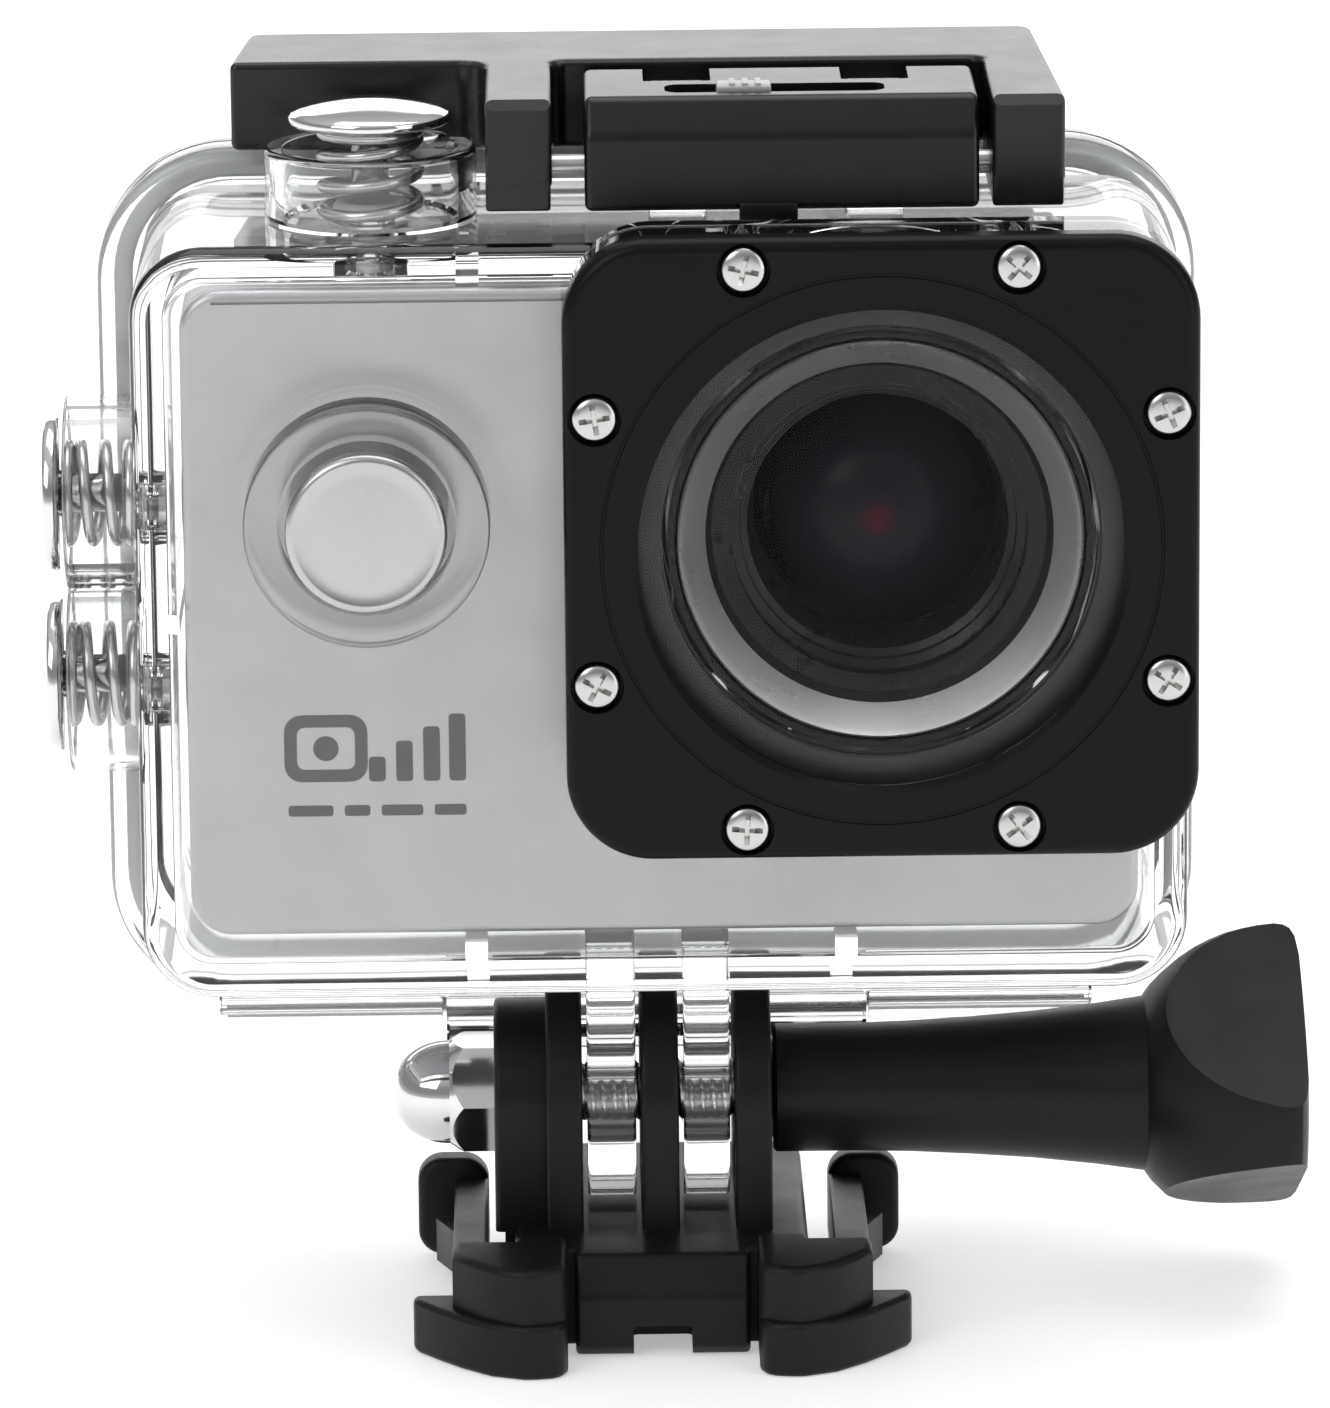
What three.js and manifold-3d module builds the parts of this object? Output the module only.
// An action camera in a clear waterproof housing, standing on a quick-release buckle.
// Millimetres. x runs to the right seen from the front, y runs from the front to the back and z runs up.
// The origin is on the buckle's underside, below the tilt axis and half way across the middle finger.

import * as THREE from "three";
import { mergeVertices } from "three/addons/utils/BufferGeometryUtils.js";
import Module from "manifold-3d";

const wasm = await Module();
wasm.setup();

// ---------- driving dimensions ----------

const GAP = 0.3; // running gap between neighbouring pieces
const COARSE = 12; // sides of small round pieces
const ROUND = 24; // sides of large round pieces

// The camera body, without its lens.
const CAMERA = { x0: -29.2, x1: 30.0, z0: 26.9, z1: 68.0, front: -10.3, back: 13.5, corner: 2.6, wall: 1.5 };
const PANEL_THICKNESS = 1.0;
const LENS = { x: 13.75, z: 53.3, barrel: 13.1, pocket: 12.6, bore: 9.4 };

// The clear housing: front box, rear flange and hinged back door.
const SHELL = { x0: -32.2, x1: 33, z0: 23.3, z1: 71, front: -12.9, wall: 2, frontWall: 1.6, corner: 4.5 };
const FLANGE = { x0: -35.1, x1: 34.7, z0: 17.3, z1: 73.3, corner: 8.5, front: 8.5, back: 11.0 };
const DOOR = { front: 11.4, plate: 13.2, back: 15.9, cavity: 14.0, wall: 1.9 };
const DOOR_HINGE = { y: 14.6, z: 15.3, barrel: 1.4, bore: 0.9, pin: 0.6, inner: 13.6, outer: 28.4 };
const GASKET = { inset: 1.6, width: 1.2 };

// The square lens turret, its glass and its screwed bezel.
const TURRET = { half: 19.1, corner: 5.2, front: -18.0, bore: 13.4, seat: 15.8, seatFloor: -16.6 };
const BEZEL = { half: 19.4, corner: 5.3, front: -20.3, back: -18.3, opening: 14.9, lip: 0.6 };
const GLASS = { radius: 15.5, front: -19.4, back: -18.0 };
const SCREW = { near: 8.35, far: 17.47, head: 1.45, headDepth: 0.9, shank: 0.8, length: 5.4 };

// The mount: three buckle fingers and two housing fingers on one screw.
const TILT_Z = 13.5;
const FINGER = { round: 7.5, housingRound: 6.8, bore: 2.3 };
const BUCKLE_FINGERS = [[-7.2, -4.9], [-1.2, 1.2], [4.75, 7.1]];
const HOUSING_FINGERS = [[-4.6, -1.5], [1.5, 4.45]];
const NUT_BOSS = { x0: -10.5, round: 6.0, pocket: 4.3, pocketDepth: 1.9 };
const NUT = { flats: 6.85, x0: -16.95, x1: -8.9, bore: 2.25 };
const BOLT = { radius: 1.95, x0: -13.6, x1: 15.0 };
const WASHER = { x0: 7.25, x1: 7.6, radius: 3.2 };
const HANDLE = { x0: 7.3, seat: 7.75, neck: 4.1, flare: 5.65, knob: 31.2, end: 41.1 };
const KNOB = { lobe: 10.1, flat: 6.5, turn: 0.08 };

// The buckle body.
const BASE = { half: 9.3, top: 6.4, front: -11.2, back: 12.5, nose: -14.2, noseHalf: 5.5 };
const EAR = { inner: 6.0, rail: 15.7, upper: 13.2, railTop: 3.5, top: 7.0, tip: -18.6 };
const ARM = { inner: 11, outer: 13.2, pivotY: -9.4, beam: 5.6, top: 6.9, tab: 15.6, front: 6.9, back: 9.1 };

// The latch on top of the housing.
const LEVER = { x0: -4.1, x1: 20.2, front: -9.5, back: 2.6, bottom: 72.4, top: 79.3 };
const LEVER_PIVOT = { y: 0.9, z: 75.6, lug: 3.1, rear: 2.4 };
const LUGS = [[-0.1, 3.5], [12.2, 15.8]];
const BAR_PIVOT = { y: -5.6, z: 74.6 };
const BAR = { x0: -26.3, x1: 25.5, waist: 0.9, front: 4.9, back: 15.9, bottom: 73.8, top: 79.4 };
const BAR_ARMS = [[-10.2, -6.1], [21.0, 25.5]];
const LATCH_PIN = { radius: 0.75, bore: 1.05 };
const LOCK = { x0: 4.1, x1: 7.5, slot: [0.9, 14.5], slotY: [-6.6, -3.7] };

// The buttons. u is the height above the camera's surface, along the button's own axis.
const KEY = { radius: 2.6, proud: 0.35, flange: 3.4 };
const STEM = { radius: 1.2, tip: 1.0, bore: 1.5 };
const CLIP = { radius: 2.0, u0: 1.25, u1: 1.7, recess: 2.4, recessTop: 2.0 };
const SPRING = { radius: 3.0, wire: 0.38, turns: 3 };
const SEAL = { radius: 1.9, section: 0.5 };
const BUTTONS = [
  { name: "shutter", x: -17.4, y: -2.7, z: CAMERA.z1, out: [0, 0, 1], floor: 3.0,
    boss: 6.6, well: 5.5, rim: 7.5, cap: 5.08, under: 8.4, top: 9.8, crown: 0.7 },
  { name: "power", x: -17.74, y: CAMERA.front, z: 54.1, out: [0, -1, 0], floor: 2.6,
    boss: 7.6, well: 5.5, rim: 5.6, cap: 4.98, under: 6.1, top: 7.6, crown: 0.1 },
  { name: "side_upper", x: CAMERA.x0, y: 0, z: 53.0, out: [-1, 0, 0], floor: 3.0,
    boss: 6.2, well: 5.3, rim: 7.7, cap: 4.9, under: 8.1, top: 9.2, crown: 0.2 },
  { name: "side_lower", x: CAMERA.x0, y: 0, z: 41.3, out: [-1, 0, 0], floor: 3.0,
    boss: 6.2, well: 5.3, rim: 7.7, cap: 4.9, under: 8.1, top: 9.2, crown: 0.2 },
];

// ---------- materials ----------

function finish(color, roughness, metalness) {
  return new THREE.MeshStandardMaterial({ color, roughness, metalness });
}

function clearPlastic() {
  const material = finish(0xf4f7f8, 0.08, 0);
  material.transparent = true;
  material.opacity = 0.3;
  return material;
}

const CLEAR = clearPlastic();
const BLACK = finish(0x141415, 0.4, 0);
const SATIN_BLACK = finish(0x1b1b1c, 0.55, 0);
const LATCH_BLACK = finish(0x202124, 0.45, 0);
const SILVER = finish(0xb4b5b6, 0.35, 0.8);
const SILVER_PLASTIC = finish(0xa9aaac, 0.4, 0.2);
const SEAL_BLACK = finish(0x111112, 0.5, 0);
const CHROME = finish(0xd8d8da, 0.12, 1);
const STEEL = finish(0xa8a9ab, 0.3, 1);
const RUBBER = finish(0x2a2a2b, 0.8, 0);
const GLASS_FINISH = finish(0x1c1c22, 0.05, 0);
const BOARD_GREEN = finish(0x1f5b3a, 0.6, 0);

// ---------- solids ----------

// A closed three.js geometry as a solid that can be joined and cut.
function solid(geometry) {
  const bare = geometry.index ? geometry.toNonIndexed() : geometry.clone();
  bare.deleteAttribute("normal");
  bare.deleteAttribute("uv");
  const merged = mergeVertices(bare, 1e-4);
  const mesh = new wasm.Mesh({
    numProp: 3,
    vertProperties: merged.attributes.position.array,
    triVerts: new Uint32Array(merged.index.array),
  });
  return new wasm.Manifold(mesh);
}

function join(...solids) {
  return solids.reduce((all, next) => all.add(next));
}

function cut(from, ...solids) {
  return solids.reduce((rest, tool) => rest.subtract(tool), from);
}

// A named node from a solid.
function node(name, shape, material) {
  const { vertProperties, triVerts } = shape.getMesh();
  const geometry = new THREE.BufferGeometry();
  geometry.setAttribute("position", new THREE.BufferAttribute(vertProperties, 3));
  geometry.setIndex(new THREE.BufferAttribute(triVerts, 1));
  geometry.computeVertexNormals();
  const mesh = new THREE.Mesh(geometry, material);
  mesh.name = name;
  return mesh;
}

function block(x0, x1, y0, y1, z0, z1) {
  const box = new THREE.BoxGeometry(x1 - x0, y1 - y0, z1 - z0);
  return solid(box.translate((x0 + x1) / 2, (y0 + y1) / 2, (z0 + z1) / 2));
}

// Turns the drawing plane and its normal into row directions: a drawing for axis x has (y, z) as its
// plane, one for axis y has (x, z) and one for axis z has (x, y).
const PLANES = {
  x: new THREE.Matrix4().set(0, 0, 1, 0, 1, 0, 0, 0, 0, 1, 0, 0, 0, 0, 0, 1),
  y: new THREE.Matrix4().set(1, 0, 0, 0, 0, 0, -1, 0, 0, 1, 0, 0, 0, 0, 0, 1),
  z: new THREE.Matrix4(),
};

// An outline extruded along an axis, from one place on that axis to another.
function prism(outline, axis, from, to, curveSegments = 3) {
  const options = { depth: to - from, bevelEnabled: false, curveSegments };
  const geometry = new THREE.ExtrudeGeometry(outline, options);
  geometry.translate(0, 0, axis === "y" ? -to : from);
  return solid(geometry.applyMatrix4(PLANES[axis]));
}

function polygon(points) {
  return new THREE.Shape(points.map(([a, b]) => new THREE.Vector2(a, b)));
}

function roundedRect(a0, a1, b0, b1, r) {
  const shape = new THREE.Shape();
  shape.moveTo(a0 + r, b0);
  shape.lineTo(a1 - r, b0);
  shape.absarc(a1 - r, b0 + r, r, -Math.PI / 2, 0);
  shape.lineTo(a1, b1 - r);
  shape.absarc(a1 - r, b1 - r, r, 0, Math.PI / 2);
  shape.lineTo(a0 + r, b1);
  shape.absarc(a0 + r, b1 - r, r, Math.PI / 2, Math.PI);
  shape.lineTo(a0, b0 + r);
  shape.absarc(a0 + r, b0 + r, r, Math.PI, 1.5 * Math.PI);
  return shape;
}

function boxOutline({ x0, x1, z0, z1, corner }, grow = 0) {
  return roundedRect(x0 - grow, x1 + grow, z0 - grow, z1 + grow, Math.max(corner + grow, 0.5));
}

// A round bar between two places on an axis, at (a, b) in that axis's drawing plane. An arc is drawn
// with twice its number of curve segments.
function rod(axis, a, b, radius, from, to, sides = COARSE) {
  const circle = new THREE.Shape().absarc(a, b, radius, 0, 2 * Math.PI);
  return prism(circle, axis, from, to, sides / 2);
}

// A profile of (radius, height) points turned about the z axis.
function turned(profile, sides = ROUND) {
  const points = profile.map(([r, h]) => new THREE.Vector2(r, h));
  const geometry = new THREE.LatheGeometry(points, sides);
  return solid(geometry.rotateX(Math.PI / 2));
}

// A ring with a rectangular section.
function ring(inner, outer, from, to, sides = ROUND) {
  return turned([[inner, from], [outer, from], [outer, to], [inner, to], [inner, from]], sides);
}

// A group whose z axis points along a direction from a point.
function frameAt(point, direction) {
  const group = new THREE.Group();
  group.position.set(...point);
  group.quaternion.setFromUnitVectors(new THREE.Vector3(0, 0, 1), new THREE.Vector3(...direction));
  group.updateMatrix();
  return group;
}

// A solid made along z, moved into a group's frame.
function placed(shape, group) {
  return shape.transform(group.matrix.elements);
}

const LENS_FRAME = frameAt([LENS.x, 0, LENS.z], [0, -1, 0]);

// The lens axis points forwards, so a depth along y becomes a height of the opposite sign.
function lensRing(inner, outer, front, back, sides = ROUND) {
  return placed(ring(inner, outer, -back, -front, sides), LENS_FRAME);
}

// ---------- camera ----------

function cameraCase() {
  const front = CAMERA.front + PANEL_THICKNESS + GAP;
  const back = CAMERA.back - 1.8;
  const outside = prism(boxOutline(CAMERA), "y", front, back);
  const inside = prism(boxOutline(CAMERA, -CAMERA.wall), "y", front - 1, back + 1);
  const doorway = block(-24.6, 4.4, 2.2, 11.2, CAMERA.z0 - 1, CAMERA.z0 + CAMERA.wall + 1);
  const keyHoles = BUTTONS.filter(({ name }) => name !== "power").map((button) =>
    placed(rod("z", 0, 0, KEY.radius + GAP, -CAMERA.wall - 1, 1), frameOf(button)));
  return node("camera_case", cut(outside, inside, doorway, ...keyHoles), SILVER_PLASTIC);
}

function frontPanel() {
  const { front } = CAMERA;
  const plate = prism(boxOutline(CAMERA), "y", front, front + PANEL_THICKNESS);
  const lensHole = rod("y", LENS.x, LENS.z, LENS.barrel + GAP, front - 1, front + 2, ROUND);
  const power = BUTTONS.find(({ name }) => name === "power");
  const keyHole = rod("y", power.x, power.z, KEY.radius + GAP, front - 1, front + 2);
  return node("front_panel", cut(plate, lensHole, keyHole), SILVER);
}

const SCREEN = { x0: -17, x1: 17, z0: 36.5, z1: 61.5, corner: 0.8 };

function rearCover() {
  const { back } = CAMERA;
  const plate = prism(boxOutline(CAMERA), "y", back - 1.5, back);
  const window = prism(boxOutline(SCREEN), "y", back - 2, back + 1);
  return node("rear_cover", cut(plate, window), SATIN_BLACK);
}

function screen() {
  const { back } = CAMERA;
  return node("lcd_screen", prism(boxOutline(SCREEN, -GAP), "y", back - 1.4, back - 0.3), GLASS_FINISH);
}

function lensParts() {
  const barrel = placed(
    turned([
      [LENS.bore, 2.5], [12.9, 2.5], [12.9, 8.7], [LENS.barrel, 8.7], [LENS.barrel, 17.0],
      [LENS.pocket, 17.0], [LENS.pocket, 14.9], [10.8, 14.9], [10.2, 13.9], [9.3, 13.9], [9.3, 11.6],
      [LENS.bore - 1.4, 11.6], [LENS.bore - 1.4, 6.0], [LENS.bore, 6.0], [LENS.bore, 2.5],
    ]),
    LENS_FRAME,
  );
  const trim = placed(
    turned([[10.7, 15.2], [12.45, 15.2], [12.45, 17.1], [12.3, 17.3], [10.7, 15.2]]),
    LENS_FRAME,
  );
  const frontElement = placed(
    turned([[0, 6.4], [7.6, 6.4], [7.6, 8.6], [5.6, 10.2], [3.0, 11.1], [0, 11.4]]),
    LENS_FRAME,
  );
  const rearElement = placed(turned([[0, 3.0], [6.0, 3.0], [6.0, 4.4], [3.2, 5.4], [0, 5.8]]), LENS_FRAME);
  return [
    node("lens_barrel", barrel, SATIN_BLACK),
    node("lens_trim_ring", trim, STEEL),
    node("lens_front_element", frontElement, GLASS_FINISH),
    node("lens_rear_element", rearElement, GLASS_FINISH),
  ];
}

function electronics() {
  const sensor = block(LENS.x - 4.5, LENS.x + 4.5, -1.6, -0.3, LENS.z - 4.5, LENS.z + 4.5);
  const board = block(-25.5, 27.5, 0, 1.2, 30.5, 64.5);
  const battery = prism(roundedRect(-24.9, 4.5, 29.0, 62.4, 1.5), "y", 1.8, 11.2, 3);
  const { z0, wall } = CAMERA;
  const batteryDoor = block(-24.3, 4.1, 2.5, 10.9, z0 + 0.05, z0 + wall);
  return [
    node("image_sensor", sensor, GLASS_FINISH),
    node("main_board", board, BOARD_GREEN),
    node("battery", battery, SATIN_BLACK),
    node("battery_door", batteryDoor, SILVER_PLASTIC),
  ];
}

// ---------- buttons ----------

function frameOf({ x, y, z, out }) {
  return frameAt([x, y, z], out);
}

// The camera's own key: a disc that a plunger presses, kept in by its flange.
function key({ name }) {
  const inside = name === "power" ? PANEL_THICKNESS : CAMERA.wall;
  const { radius, proud, flange } = KEY;
  const low = -inside - 1.0;
  return node(`${name}_key`, turned([[0, low], [flange, low], [flange, low + 0.6], [radius, low + 0.6],
    [radius, proud], [0, proud]], COARSE), SILVER);
}

function plunger({ name, cap, under, top, crown }) {
  const { radius, tip } = STEM;
  const profile = [[0, tip], [radius, tip], [radius, under], [cap, under], [cap, top - crown],
    [cap * 0.6, top - crown * 0.25], [0, top]];
  return node(`${name}_plunger`, turned(profile, 24), CHROME);
}

// A coil spring between the well's floor and the cap.
function spring({ name, floor, under }) {
  const { radius, wire, turns } = SPRING;
  const low = floor + 0.2 + wire;
  const rise = under - 0.2 - wire - low;
  class Helix extends THREE.Curve {
    getPoint(t, target = new THREE.Vector3()) {
      const angle = 2 * Math.PI * turns * t;
      return target.set(radius * Math.cos(angle), radius * Math.sin(angle), low + rise * t);
    }
  }
  const section = new THREE.Shape().absarc(0, 0, wire, 0, 2 * Math.PI);
  const options = { steps: turns * 9, curveSegments: 3, extrudePath: new Helix() };
  return node(`${name}_spring`, solid(new THREE.ExtrudeGeometry(section, options)), STEEL);
}

function stemSeal({ name, floor }) {
  const { radius, section } = SEAL;
  const height = floor + 0.15 + section;
  const profile = [];
  for (let i = 0; i <= 6; i += 1) {
    const angle = (2 * Math.PI * i) / 6;
    profile.push([radius + section * Math.cos(angle), height + section * Math.sin(angle)]);
  }
  return node(`${name}_seal`, turned(profile, COARSE), RUBBER);
}

// A retaining clip, open at one side, in a groove behind the wall.
function stemClip({ name }) {
  const { radius, u0, u1 } = CLIP;
  const mouth = block(0, radius + 1, -0.8, 0.8, u0 - 1, u1 + 1);
  return node(`${name}_clip`, cut(ring(STEM.radius + 0.1, radius, u0, u1, COARSE), mouth), STEEL);
}

function buttonParts(button) {
  const group = frameOf(button);
  group.add(key(button), plunger(button), spring(button), stemSeal(button), stemClip(button));
  return group;
}

// ---------- housing ----------

const CAVITY = {
  x0: SHELL.x0 + SHELL.wall,
  x1: SHELL.x1 - SHELL.wall,
  z0: SHELL.z0 + SHELL.wall,
  z1: SHELL.z1 - SHELL.wall,
  corner: SHELL.corner - SHELL.wall,
};
const SCREW_PLACES = [
  [-SCREW.near, SCREW.far], [SCREW.near, SCREW.far], [SCREW.far, SCREW.near], [SCREW.far, -SCREW.near],
  [SCREW.near, -SCREW.far], [-SCREW.near, -SCREW.far], [-SCREW.far, -SCREW.near], [-SCREW.far, SCREW.near],
].map(([dx, dz]) => [LENS.x + dx, LENS.z + dz]);

function squareAround(half, corner) {
  return roundedRect(LENS.x - half, LENS.x + half, LENS.z - half, LENS.z + half, corner);
}

// A finger's side view: a round end about the tilt axis and a root that runs up or down to rootZ.
function fingerOutline(round, rootZ) {
  const up = rootZ > TILT_Z;
  const shape = new THREE.Shape();
  shape.moveTo(-round, rootZ);
  shape.lineTo(-round, TILT_Z);
  shape.absarc(0, TILT_Z, round, Math.PI, up ? 2 * Math.PI : 0, !up);
  shape.lineTo(round, rootZ);
  return shape;
}

function finger([x0, x1], round, rootZ) {
  return prism(fingerOutline(round, rootZ), "x", x0, x1, 7);
}

function tiltBore() {
  return rod("x", 0, TILT_Z, FINGER.bore, -30, 30, 10);
}

function shellBody() {
  const box = prism(boxOutline(SHELL), "y", SHELL.front, FLANGE.front + 0.5);
  const flange = prism(boxOutline(FLANGE), "y", FLANGE.front, FLANGE.back);
  const turret = prism(squareAround(TURRET.half, TURRET.corner), "y", TURRET.front, SHELL.front + 0.5);
  const bosses = BUTTONS.map((button) =>
    placed(ring(button.well, button.boss, 1.6, button.rim, 24), frameOf(button)));
  const fingers = HOUSING_FINGERS.map((span) => finger(span, FINGER.housingRound, SHELL.z0 + 0.5));
  return join(box, flange, turret, ...bosses, ...fingers, ...latchLugs(), shellHinge());
}

// A lug for the lever's pin: round in front and on top, where the lever sweeps past, and flat behind.
function latchLugs() {
  const { y, z, lug, rear } = LEVER_PIVOT;
  return LUGS.map(([x0, x1]) => {
    const round = join(rod("x", y, z, lug, x0, x1), block(x0, x1, y - lug, y + rear, SHELL.z1 - 0.5, z));
    return cut(round, block(x0 - 1, x1 + 1, y + rear, y + lug + 1, z - lug - 1, z + lug + 1));
  });
}

// The middle knuckle of the door hinge, on an arm under the flange.
function shellHinge() {
  const { y, z, barrel, inner } = DOOR_HINGE;
  const root = FLANGE.z0 + 0.6;
  const arm = polygon([[FLANGE.front, root], [FLANGE.front, z - barrel], [y, z - barrel], [y, z + 0.9],
    [FLANGE.back, z + 1.1], [FLANGE.back, root]]);
  return join(prism(arm, "x", -inner, inner), rod("x", y, z, barrel, -inner, inner, 10));
}

function retainingRibs() {
  const along = [SHELL.front + 0.5, FLANGE.back];
  const uprights = [-12.1, 11.0].flatMap((x) => [
    block(x, x + 1.4, ...along, CAVITY.z0 - 0.5, CAMERA.z0 - GAP),
    block(x, x + 1.4, ...along, CAMERA.z1 + GAP, CAVITY.z1 + 0.5),
  ]);
  const side = block(CAVITY.x0 - 0.5, CAMERA.x0 - GAP, ...along, 46.6, 47.8);
  return [...uprights, side];
}

function frontShell() {
  const cavity = prism(boxOutline(CAVITY), "y", SHELL.front + SHELL.frontWall, FLANGE.back + 1);
  const seat = lensRing(1, TURRET.seat, TURRET.front - 1, TURRET.seatFloor);
  const bore = rod("y", LENS.x, LENS.z, TURRET.bore, TURRET.front - 1, SHELL.front + 3, ROUND);
  const screwHoles = SCREW_PLACES.map(([x, z]) =>
    rod("y", x, z, SCREW.shank + GAP, TURRET.front - 1, TURRET.front + 4.6, 8));
  const stems = BUTTONS.flatMap((button) => {
    const group = frameOf(button);
    return [
      placed(rod("z", 0, 0, STEM.bore, 0.5, 4, 8), group),
      placed(rod("z", 0, 0, CLIP.recess, 0.5, CLIP.recessTop, 8), group),
      placed(rod("z", 0, 0, button.well, button.floor, 12, 24), group),
    ];
  });
  const pinBore = rod("x", LEVER_PIVOT.y, LEVER_PIVOT.z, LATCH_PIN.bore, -20, 30, 8);
  const hingeBore = rod("x", DOOR_HINGE.y, DOOR_HINGE.z, DOOR_HINGE.bore, -30, 30, 8);
  const holes = [...screwHoles, ...stems, tiltBore(), pinBore, hingeBore];
  const hollow = cut(shellBody(), cavity, seat, bore, ...holes);
  return node("front_shell", join(hollow, ...retainingRibs()), CLEAR);
}

// The gasket's centre line, as a box outline that a growth makes wider or narrower.
const GASKET_LINE = {
  x0: FLANGE.x0 + GASKET.inset,
  x1: FLANGE.x1 - GASKET.inset,
  z0: FLANGE.z0 + GASKET.inset,
  z1: FLANGE.z1 - GASKET.inset,
  corner: FLANGE.corner - GASKET.inset,
};

function gasketRing(half, from, to) {
  const outside = prism(boxOutline(GASKET_LINE, half), "y", from, to);
  return cut(outside, prism(boxOutline(GASKET_LINE, -half), "y", from - 1, to + 1));
}

function backDoor() {
  const bulge = { x0: -31.9, x1: 32.3, z0: 23.4, z1: 71.0, corner: 4.5 };
  const { y, z, barrel, bore, inner, outer } = DOOR_HINGE;
  const plate = prism(boxOutline(FLANGE), "y", DOOR.front, DOOR.plate);
  const pan = prism(boxOutline(bulge), "y", DOOR.plate - 0.5, DOOR.back);
  const hollow = prism(boxOutline(bulge, -DOOR.wall), "y", DOOR.front - 1, DOOR.cavity);
  const root = z + 2.6;
  const web = polygon([[11.8, root], [11.8, z + 0.6], [y, z - barrel], [y + 0.6, z], [DOOR.plate, root]]);
  const knuckles = [[-outer, -inner - GAP], [inner + GAP, outer]].flatMap(([x0, x1]) => [
    rod("x", y, z, barrel, x0, x1, 10),
    prism(web, "x", x0, x1),
  ]);
  const groove = gasketRing(GASKET.width / 2 + GAP, DOOR.front - 1, DOOR.front + 1.0);
  const pinBore = rod("x", y, z, bore, -30, 30, 8);
  return node("back_door", cut(join(plate, pan, ...knuckles), hollow, groove, pinBore), CLEAR);
}

function doorGasket() {
  return node("door_gasket", gasketRing(GASKET.width / 2, FLANGE.back + 0.15, DOOR.front + 0.7), RUBBER);
}

function doorHingePin() {
  const { y, z, pin, outer } = DOOR_HINGE;
  return node("door_hinge_pin", rod("x", y, z, pin, -outer + 0.4, outer - 0.4, 6), STEEL);
}

function windowParts() {
  const glass = lensRing(0, GLASS.radius, GLASS.front, GLASS.back);
  const seal = lensRing(TURRET.bore + 0.1, TURRET.seat - 0.4, -17.7, TURRET.seatFloor - GAP);
  return [node("window_glass", glass, CLEAR), node("window_seal", seal, SEAL_BLACK)];
}

function lensBezel() {
  const plate = prism(squareAround(BEZEL.half, BEZEL.corner), "y", BEZEL.front, BEZEL.back);
  const opening = rod("y", LENS.x, LENS.z, BEZEL.opening, BEZEL.front - 1, BEZEL.back + 1, ROUND);
  const recess = rod("y", LENS.x, LENS.z, TURRET.seat, BEZEL.front + BEZEL.lip, BEZEL.back + 1, ROUND);
  const holes = SCREW_PLACES.flatMap(([x, z]) => [
    rod("y", x, z, SCREW.shank + 0.2, BEZEL.front - 1, BEZEL.back + 1, 6),
    rod("y", x, z, SCREW.head + 0.2, BEZEL.front - 1, BEZEL.front + SCREW.headDepth + 0.1, 8),
  ]);
  return node("lens_bezel", cut(plate, opening, recess, ...holes), BLACK);
}

// A cross-head screw, made along z with its head's top at 0.
function bezelScrew([x, z], index) {
  const { head, headDepth, shank, length } = SCREW;
  const body = turned([[0, -length], [shank, -length], [shank, -headDepth], [head, -headDepth], [head, -0.25],
    [head - 0.35, 0], [0, 0]], COARSE);
  const slots = [block(-0.85, 0.85, -0.2, 0.2, -0.5, 1), block(-0.2, 0.2, -0.85, 0.85, -0.5, 1)];
  const screw = node(`bezel_screw_${index + 1}`, cut(body, ...slots), STEEL);
  const group = frameAt([x, BEZEL.front, z], [0, -1, 0]);
  group.add(screw);
  return group;
}

// ---------- latch ----------

function latchLever() {
  const { x0, x1, front, back, bottom, top } = LEVER;
  const side = polygon([[front, bottom], [front + 0.3, top - 2.2], [front + 1.6, top], [back - 0.5, top],
    [back, top - 0.6], [back, bottom]]);
  const thumbLip = block(5.4, 9.0, front - 0.5, front + 1, 71.6, bottom + 0.6);
  const hollow = block(x0 + 1.3, x1 - 1.3, front + 1.4, -3.1, bottom - 1, top - 1.4);
  const notchFront = LEVER_PIVOT.y - LEVER_PIVOT.lug - GAP;
  const notches = LUGS.map(([a, b]) => block(a - GAP, b + GAP, notchFront, back + 1, 70, 90));
  const slot = block(...LOCK.slot, ...LOCK.slotY, top - 2, top + 1);
  const bores = [LEVER_PIVOT, BAR_PIVOT].map(({ y, z }) => rod("x", y, z, LATCH_PIN.bore, x0 - 1, x1 + 1, 8));
  const body = join(prism(side, "x", x0, x1), thumbLip);
  return node("latch_lever", cut(body, hollow, ...notches, slot, ...bores), LATCH_BLACK);
}

// The bar's plan: a rear bar with two arms that reach forwards past the lever's ends.
function barPlan() {
  const [[a0, a1], [b0, b1]] = BAR_ARMS;
  const { x0, x1, waist, front, back } = BAR;
  const tip = LEVER.front;
  const shape = new THREE.Shape();
  shape.moveTo(x0 + waist + 0.8, back);
  shape.lineTo(x0 + waist, back - 0.8);
  shape.lineTo(x0, front);
  shape.lineTo(a0 - 2, front);
  shape.absarc(a0 - 2, front - 2, 2, Math.PI / 2, 0, true);
  shape.lineTo(a0, tip);
  shape.lineTo(a1, tip);
  shape.lineTo(a1, front - 1);
  shape.absarc(a1 + 1, front - 1, 1, Math.PI, Math.PI / 2, true);
  shape.lineTo(b0 - 1, front);
  shape.absarc(b0 - 1, front - 1, 1, Math.PI / 2, 0, true);
  shape.lineTo(b0, tip);
  shape.lineTo(b1, tip);
  shape.lineTo(x1 - waist, back - 0.8);
  shape.lineTo(x1 - waist - 0.8, back);
  return shape;
}

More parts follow.
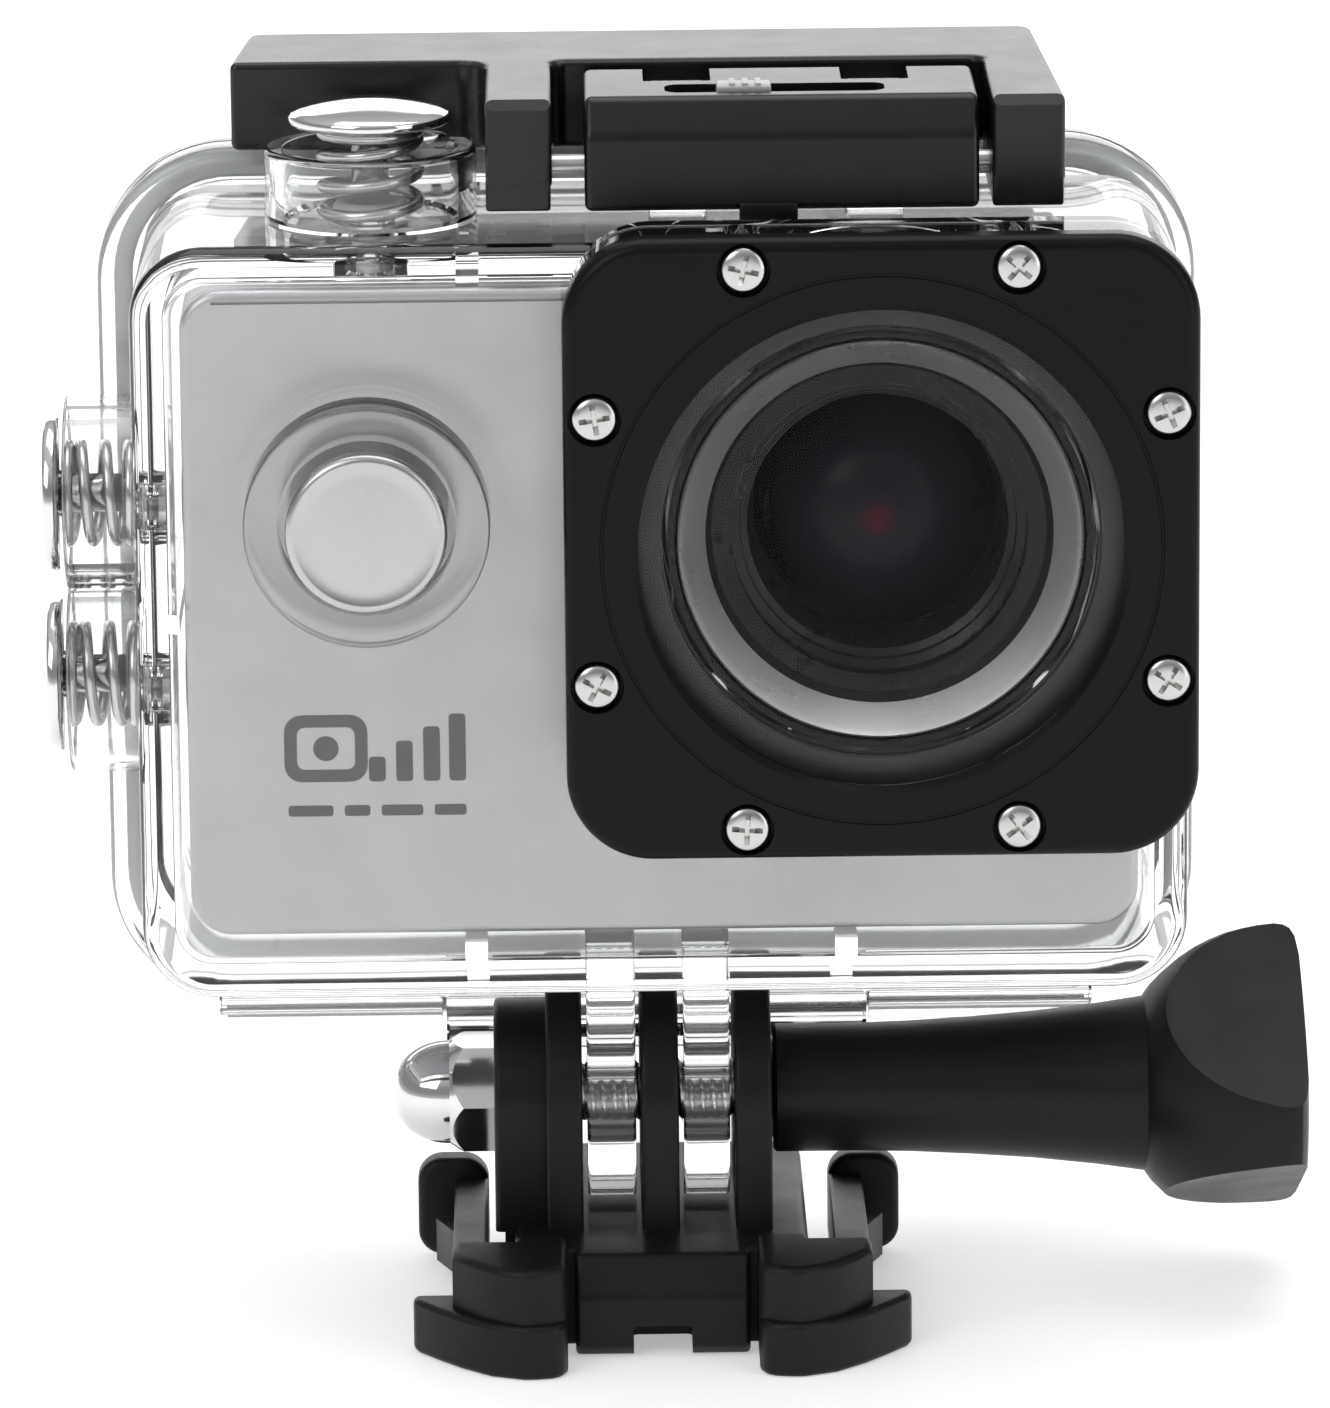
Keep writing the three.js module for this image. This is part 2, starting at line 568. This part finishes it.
function latchBar() {
  const { bottom, top } = BAR;
  const body = prism(barPlan(), "z", bottom, top);
  const soleBottom = LEVER.bottom + 0.1;
  const soles = BAR_ARMS.map(([x0, x1]) =>
    block(x0, x1 - 0.1, LEVER.front, BAR.front - 1, soleBottom, bottom + 0.1));
  const { front } = LEVER;
  const slope = polygon([[front - 1, top + 1], [front - 1, top - 1.6], [front + 1.6, top + 1]]);
  const chamfer = prism(slope, "x", BAR.x0 - 1, BAR.x1 + 1);
  const bore = rod("x", BAR_PIVOT.y, BAR_PIVOT.z, LATCH_PIN.bore, BAR.x0, BAR.x1 + 1, 8);
  return node("latch_bar", cut(join(body, ...soles), chamfer, bore), LATCH_BLACK);
}

function latchLock() {
  const { x0, x1, slotY } = LOCK;
  const { top } = LEVER;
  const tab = block(x0, x1, slotY[0] + GAP, slotY[1] - GAP, top - 2.4, top + 0.3);
  const foot = block(x0 - 1.2, x1 + 1.2, slotY[0] - 0.4, slotY[1] + 0.4, top - 2.9, top - 1.7);
  return node("latch_lock", join(tab, foot), SILVER_PLASTIC);
}

function latchPins() {
  const { radius } = LATCH_PIN;
  const [[left], [, right]] = BAR_ARMS;
  const leverPin = rod("x", LEVER_PIVOT.y, LEVER_PIVOT.z, radius, LEVER.x0 + 0.4, LEVER.x1 - 0.4, 8);
  const barPin = rod("x", BAR_PIVOT.y, BAR_PIVOT.z, radius, left + 0.8, right - 1.2, 8);
  return [node("lever_pin", leverPin, STEEL), node("bar_pin", barPin, STEEL)];
}

// ---------- buckle ----------

// One half of the buckle's front: a rail at the bottom and a narrower ear above it. side is 1 or -1.
function ear(side) {
  const { inner, rail, upper, railTop, top, tip } = EAR;
  const { half, front } = BASE;
  const rails = [[inner, front + 1], [inner, tip + 1.3], [inner + 0.9, tip + 0.2], [8.8, tip], [12.8, -16],
    [rail - 0.2, -12.6], [rail, -12], [rail, front], [half, front], [half, front + 1]];
  const uppers = [[inner, front + 1], [inner, tip + 1.6], [8.6, tip + 0.4], [11.2, -16.6], [upper, -14],
    [upper, front], [half, front], [half, front + 1]];
  const flip = (points) => polygon(side > 0 ? points : points.map(([x, y]) => [-x, y]));
  return join(prism(flip(rails), "z", 0, railTop), prism(flip(uppers), "z", railTop - 0.5, top));
}

function buckleBase() {
  const { half, top, front, back, nose, noseHalf } = BASE;
  const plate = prism(roundedRect(-half, half, front, back, 2), "z", 0, top, 4);
  const noseSide = polygon([[front + 1, 0], [front + 1, top], [nose + 1.6, top], [nose, top - 2.4],
    [nose, 0.8], [nose + 0.8, 0]]);
  const noseBlock = prism(noseSide, "x", -noseHalf, noseHalf);
  const notch = block(-1.85, 1.85, nose - 1, front + 2, -1, 2.1);
  const fingers = BUCKLE_FINGERS.map((span) => finger(span, FINGER.round, top - 0.5));
  const boss = finger([NUT_BOSS.x0, BUCKLE_FINGERS[0][0] + 0.5], NUT_BOSS.round, top - 0.5);
  const bossFoot = block(-ARM.inner + 1.1, -half + 0.5, -NUT_BOSS.round, -1, 0, top);
  const pocketEnd = NUT_BOSS.x0 + NUT_BOSS.pocketDepth;
  const pocket = rod("x", 0, TILT_Z, NUT_BOSS.pocket, NUT_BOSS.x0 - 1, pocketEnd, COARSE);
  const body = join(plate, noseBlock, ear(1), ear(-1), ...fingers, boss, bossFoot);
  return node("buckle_base", cut(body, notch, pocket, tiltBore()), BLACK);
}

// A spring arm with a thumb tab at its rear end and a barb at its side. side is 1 or -1.
function releaseArm(side, name) {
  const { inner, outer, pivotY, beam, top, tab, front, back } = ARM;
  const span = (a, b) => (side > 0 ? [a, b] : [-b, -a]);
  const bar = block(...span(inner, outer), pivotY, back, 1.2, beam);
  const root = rod("z", (side * (inner + outer)) / 2, pivotY, (outer - inner) / 2, 1.2, beam, 8);
  const wing = roundedRect(...span(inner, tab), 0.4, top, 1.6);
  const flush = side * (outer - 0.5);
  const barb = polygon([[flush, -1], [side * (outer + 1.2), 3.4], [flush, 3.4]]);
  return node(name, join(bar, root, prism(wing, "y", front, back), prism(barb, "z", 1.2, 4.0)), BLACK);
}

// ---------- tilt screw ----------

function acornNut() {
  const { flats, x0, x1, bore } = NUT;
  const corner = flats / Math.sqrt(3);
  const hex = polygon([0, 1, 2, 3, 4, 5].map((i) => {
    const angle = (Math.PI / 3) * i;
    return [corner * Math.cos(angle), corner * Math.sin(angle)];
  }));
  const group = frameAt([x1, 0, TILT_Z], [-1, 0, 0]);
  const height = x1 - x0;
  const dome = turned([[0, 0], [corner, 0], [corner, height - 4.4], [3.3, height - 3.6], [3.15, height - 2.2],
    [2.7, height - 1.1], [1.7, height - 0.3], [0, height]], 24);
  const body = prism(hex, "z", 0, height + 1).intersect(dome);
  group.add(node("acorn_nut", cut(body, rod("z", 0, 0, bore, -1, height - 2, COARSE)), CHROME));
  return group;
}

function washer() {
  const group = frameAt([WASHER.x0, 0, TILT_Z], [1, 0, 0]);
  group.add(node("washer", ring(FINGER.bore, WASHER.radius, 0, WASHER.x1 - WASHER.x0, 20), STEEL));
  return group;
}

function thumbscrewBolt() {
  return node("thumbscrew_bolt", rod("x", 0, TILT_Z, BOLT.radius, BOLT.x0, BOLT.x1, COARSE), STEEL);
}

// The knob's section is a circle with three flats, which leave a lobe facing the front.
function lobes() {
  const { lobe, flat, turn } = KNOB;
  const third = (2 * Math.PI) / 3;
  const points = [];
  for (let i = 0; i < 36; i += 1) {
    const angle = (2 * Math.PI * i) / 36;
    const fromFlat = angle - third * Math.round(angle / third);
    const radius = Math.min(lobe, flat / Math.cos(fromFlat));
    points.push([radius * Math.cos(angle + turn), radius * Math.sin(angle + turn) + TILT_Z]);
  }
  return polygon(points);
}

function thumbscrewHandle() {
  const { x0, seat, neck, flare, knob, end } = HANDLE;
  const { lobe } = KNOB;
  const group = frameAt([0, 0, TILT_Z], [1, 0, 0]);
  const shaft = turned([[0, x0], [neck, x0], [neck, 14], [4.5, 22], [flare, knob], [flare, knob + 1],
    [0, knob + 1]]);
  const envelope = turned([[0, knob - 1], [flare - 0.6, knob - 1], [6.0, knob], [8.05, knob + 2.2],
    [9.2, knob + 4.3], [9.85, knob + 6.3], [lobe, knob + 8.3], [9.7, end - 0.6], [8.6, end - 0.2], [0, end]]);
  const knobSolid = prism(lobes(), "x", knob - 1, end + 1).intersect(placed(envelope, group));
  const bore = rod("x", 0, TILT_Z, BOLT.radius + GAP, x0 - 1, BOLT.x1 + GAP, COARSE);
  const recess = rod("x", 0, TILT_Z, WASHER.radius + 0.2, x0 - 1, seat, COARSE);
  return node("thumbscrew_handle", cut(join(placed(shaft, group), knobSolid), bore, recess), BLACK);
}

// ---------- assembly ----------

const group = new THREE.Group();
group.add(
  cameraCase(),
  frontPanel(),
  rearCover(),
  screen(),
  ...lensParts(),
  ...electronics(),
  ...BUTTONS.map(buttonParts),
  frontShell(),
  backDoor(),
  doorGasket(),
  doorHingePin(),
  ...windowParts(),
  lensBezel(),
  ...SCREW_PLACES.map(bezelScrew),
  latchLever(),
  latchBar(),
  latchLock(),
  ...latchPins(),
  buckleBase(),
  releaseArm(-1, "release_arm_left"),
  releaseArm(1, "release_arm_right"),
  acornNut(),
  washer(),
  thumbscrewBolt(),
  thumbscrewHandle(),
);

export default group;
